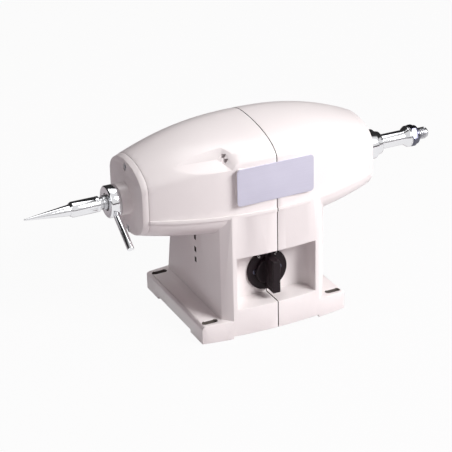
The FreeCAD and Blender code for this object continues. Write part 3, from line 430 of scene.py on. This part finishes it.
def softened(node, width):
    """Copy of a node's solid with its sharp edges broken, which stands for the node."""
    source = nodes[node]
    piece = bpy.data.objects.new(node + "_finish", source.data.copy())
    bpy.context.scene.collection.objects.link(piece)
    make_active(piece)
    bpy.ops.object.mode_set(mode="EDIT")
    bpy.ops.mesh.select_all(action="SELECT")
    bpy.ops.mesh.remove_doubles(threshold=0.002 * MM)
    bpy.ops.mesh.dissolve_limited(angle_limit=math.radians(0.3))
    bpy.ops.object.mode_set(mode="OBJECT")
    mark_edges(piece)
    apply_modifier(piece, "BEVEL", width=width, segments=2, limit_method="WEIGHT", use_clamp_overlap=False)
    pull_back(piece, source, 1.2 * width)
    apply_modifier(piece, "BEVEL", width=width, segments=2, limit_method="ANGLE",
                   angle_limit=math.radians(SHARP_ANGLE), use_clamp_overlap=True)
    smooth(piece)
    settle(piece, node + "_finish", node)
    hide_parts(node)
    return piece


def in_seam(place):
    return abs(place.x) < SEAM_HALF


def in_bench_slot(place):
    """Inside one of the four long holes for the bench screws."""
    radius = slots["hole_r_mm"] * MM
    straight = slots["slot_length_mm"] * MM / 2 - radius
    along = max(abs(abs(place.x) - slots["spacing_x_mm"] * MM / 2) - straight, 0.0)
    across = abs(place.y) - slots["spacing_y_mm"] * MM / 2
    return place.z < BASE_TOP_Z - 0.3 * MM and math.hypot(along, across) < radius + 0.1 * MM


def in_side_vent(place):
    """Inside one of the slits in the pedestal's sides."""
    in_wall = VENT_INNER_X < abs(place.x) < VENT_OUTER_X
    return in_wall and abs(place.y - VENT_Y) < VENT_HALF_WIDTH and place.z < VENT_TOP_Z


def faces_sideways(face):
    """Part of a side's own surface, such as the web between two vents."""
    return abs(face.normal.x) > 0.7


def darken(piece, inside):
    """Gives the faces whose middles lie inside a region the painted shade finish, a near-black colour in place of
    the shade there.
    """
    piece.data.materials.append(painted_hollow_shade.material)
    for face in piece.data.polygons:
        if inside(face):
            face.material_index = 1


for node, piece in nodes.items():
    dress(piece, finishes[slot_of_node[node]])

for node in ("housing_left", "housing_right"):
    half = softened(node, HOUSING_EDGE)
    # Painted shade: the seam groove, the bench slots and the vents' inner walls are coloured near-black where
    # shade falls in them.
    darken(half, lambda face: in_seam(face.center) or in_bench_slot(face.center)
           or in_side_vent(face.center) and not faces_sideways(face))
for node in ("end_plate_left", "end_plate_right", "nameplate", "bottom_cover", "cable_gland"):
    softened(node, TURNED_EDGE)
for node in ("chuck_sleeve", "dust_collar", "inner_flange", "outer_flange", "arbor_nut", "ejector_collar",
             "dial_plate", "switch_knob", "ejector_lever", "buff_cone", "end_screws_left", "end_screws_right",
             "tie_bolts", "cover_screws"):
    softened(node, SMALL_EDGE)


def shaft_with_thread_root():
    """The main shaft with its outer end turned down to the root of the thread."""
    shaft = softened("main_shaft", SMALL_EDGE)
    crest = arbor["dims"]["r_mm"] * MM
    length = arbor["dims"]["length_mm"] * MM
    x0, x1 = arbor["pos_m"][0] - length / 2, arbor["pos_m"][0] + length / 2
    for corner in shaft.data.vertices:
        height = corner.co.z - spindle_z
        radius = math.hypot(corner.co.y, height)
        if x0 - 0.05 * MM < corner.co.x < x1 + 0.4 * MM and crest - 0.3 * MM < radius < crest + 0.05 * MM:
            corner.co.y *= (crest - THREAD_DEPTH) / radius
            corner.co.z = spindle_z + height * (crest - THREAD_DEPTH) / radius
    return x0, x1, crest


def arbor_thread(x0, x1, crest):
    """Helical ridge wound round the outer end of the shaft."""
    root = crest - THREAD_DEPTH - 0.05 * MM
    start = x0 + 0.2 * MM
    pitch = (x1 - start - 0.7 * THREAD_PITCH) / THREAD_TURNS
    ridge = bpy.data.meshes.new("arbor_thread")
    profile = [(0.0, root), (0.42 * pitch, crest), (0.53 * pitch, crest), (0.95 * pitch, root)]
    ridge.from_pydata([(x, 0.0, z) for x, z in profile], [(0, 1), (1, 2), (2, 3), (3, 0)], [])
    piece = bpy.data.objects.new("arbor_thread", ridge)
    bpy.context.scene.collection.objects.link(piece)
    apply_modifier(piece, "SCREW", axis="X", screw_offset=pitch, iterations=THREAD_TURNS, steps=40,
                   angle=math.radians(360), use_merge_vertices=False)
    make_active(piece)
    bpy.ops.object.mode_set(mode="EDIT")
    bpy.ops.mesh.select_all(action="SELECT")
    bpy.ops.mesh.fill_holes(sides=4)
    bpy.ops.mesh.select_all(action="SELECT")
    bpy.ops.mesh.normals_make_consistent(inside=False)
    bpy.ops.object.mode_set(mode="OBJECT")
    piece.data.transform(Matrix.Translation((start, 0.0, spindle_z)))
    smooth(piece)
    settle(piece, "arbor_thread", "main_shaft")


arbor_thread(*shaft_with_thread_root())


def dial_numerals():
    """The switch positions, in white on the dial plate round the knob."""
    plate = nodes["dial_plate"]
    front_y = min((plate.matrix_world @ Vector(corner)).y for corner in plate.bound_box)
    centre_z = next(joint for joint in frame["joints"] if joint["name"] == "switch_turn")["pos_m"][2]
    for numeral, angle in (("0", -30.0), ("1", 0.0), ("2", 30.0)):
        reset_selection()
        bpy.ops.object.text_add()
        piece = bpy.context.object
        piece.data.body = numeral
        piece.data.align_x = "CENTER"
        piece.data.align_y = "CENTER"
        piece.data.size = NUMERAL_HEIGHT * 1.4
        piece.data.extrude = NUMERAL_RELIEF
        bpy.ops.object.convert(target="MESH")
        piece = bpy.context.object
        lean = math.radians(angle)
        upright = Matrix.Rotation(lean, 4, "Y") @ Matrix.Rotation(math.radians(90), 4, "X")
        x, z = NUMERAL_RADIUS * math.sin(lean), NUMERAL_RADIUS * math.cos(lean)
        piece.data.transform(Matrix.Translation((x, front_y, centre_z + z)) @ upright)
        settle(piece, "dial_numeral_" + numeral, "dial_plate", white_ink)


dial_numerals()

# Floor and background
bpy.ops.mesh.primitive_plane_add(size=12.0, location=(0.0, 0.0, -0.3 * MM))
floor = bpy.context.object
floor.name = "floor"


def floor_material():
    f = Finish("pale_floor", (0.50, 0.45, 0.47), 0.75)
    rays = f.tree.nodes.new("ShaderNodeLightPath")
    glow = f.tree.nodes.new("ShaderNodeEmission")
    glow.inputs["Color"].default_value = (1.0, 1.0, 1.0, 1.0)
    seen = Field(f, rays.outputs["Is Camera Ray"])
    glossy = Field(f, rays.outputs["Is Glossy Ray"])
    blend = f.tree.nodes.new("ShaderNodeMixShader")
    reach = f.node("ShaderNodeVectorMath", {"operation": "LENGTH"}, {"Vector": f.place()}, 1)
    behind = f.node("ShaderNodeSeparateXYZ", {}, {"Vector": f.place()}, 1).above(0.1, 0.1)
    mirrored = glossy * (1.0 - reach.above(1.5, 0.4)) * (1.0 - behind * 0.85)
    f.feed(blend, "Fac", (seen + mirrored) * 0.95)
    f.tree.links.new(f.shader.outputs[0], blend.inputs[1])
    f.tree.links.new(glow.outputs[0], blend.inputs[2])
    f.tree.links.new(blend.outputs[0], f.tree.nodes["Material Output"].inputs["Surface"])
    return f


dress(floor, floor_material())


def studio_world(ambient, dark, bright):
    """White to the camera and dim to the object. Metal sees a bright front wall in a dark room."""
    world = bpy.data.worlds.new("studio")
    bpy.context.scene.world = world
    world.use_nodes = True
    tree = world.node_tree
    sky = tree.nodes["Background"]
    rays = tree.nodes.new("ShaderNodeLightPath")

    def choose(share, low, high):
        chosen = tree.nodes.new("ShaderNodeMapRange")
        for label, value in (("Value", share), ("To Min", low), ("To Max", high)):
            if isinstance(value, float):
                chosen.inputs[label].default_value = value
            else:
                tree.links.new(value, chosen.inputs[label])
        return chosen

    tint = tree.nodes.new("ShaderNodeMix")
    tint.data_type = "RGBA"
    tint.inputs[6].default_value = (1.0, 1.0, 1.0, 1.0)
    tint.inputs[7].default_value = (1.0, 0.84, 0.92, 1.0)
    tree.links.new(rays.outputs["Is Diffuse Ray"], tint.inputs[0])
    tree.links.new(tint.outputs[2], sky.inputs["Color"])
    way = tree.nodes.new("ShaderNodeSeparateXYZ")
    tree.links.new(tree.nodes.new("ShaderNodeTexCoord").outputs["Generated"], way.inputs[0])
    front = choose(way.outputs[1], bright, dark)
    front.inputs["From Min"].default_value = -0.25
    front.inputs["From Max"].default_value = -0.05
    wall = choose(way.outputs[2], dark, front.outputs[0])
    wall.inputs["From Min"].default_value = 0.04
    wall.inputs["From Max"].default_value = 0.10
    object_level = choose(rays.outputs["Is Glossy Ray"], ambient, wall.outputs[0])
    level = choose(rays.outputs["Is Camera Ray"], object_level.outputs[0], 1.0)
    tree.links.new(level.outputs[0], sky.inputs["Strength"])


studio_world(0.14, 0.03, 0.85)


def softbox(name, place, aim, size, power):
    data = bpy.data.lights.new(name, "AREA")
    data.shape = "RECTANGLE"
    data.size, data.size_y = size
    data.energy = power
    lamp = bpy.data.objects.new(name, data)
    bpy.context.scene.collection.objects.link(lamp)
    lamp.location = place
    lamp.rotation_euler = (aim - Vector(place)).to_track_quat("-Z", "Y").to_euler()


middle = Vector((0.0, 0.0, 0.12))
softbox("key_light", (1.10, -1.60, 1.45), middle, (1.1, 0.8), 58.0)
softbox("top_light", (0.2, 0.3, 2.0), middle, (1.4, 1.0), 12.0)
softbox("left_fill", (-1.9, -0.5, 1.0), middle, (0.8, 1.0), 3.0)

camera_data = bpy.data.cameras.new("camera")
camera_data.sensor_width = 36.0
camera_data.lens = VIEW_LENS
camera = bpy.data.objects.new("camera", camera_data)
bpy.context.scene.collection.objects.link(camera)
tilt = Matrix.Rotation(math.radians(90 - VIEW_ELEVATION), 4, "X")
turn = Matrix.Rotation(math.radians(VIEW_AZIMUTH), 4, "Z") @ tilt
back = turn @ Vector((0, 0, 1))
camera.matrix_world = Matrix.Translation(VIEW_AIM + back * VIEW_DISTANCE) @ turn @ Matrix.Rotation(
    math.radians(VIEW_ROLL), 4, "Z")
bpy.context.scene.camera = camera
bpy.context.scene.view_settings.view_transform = "Standard"
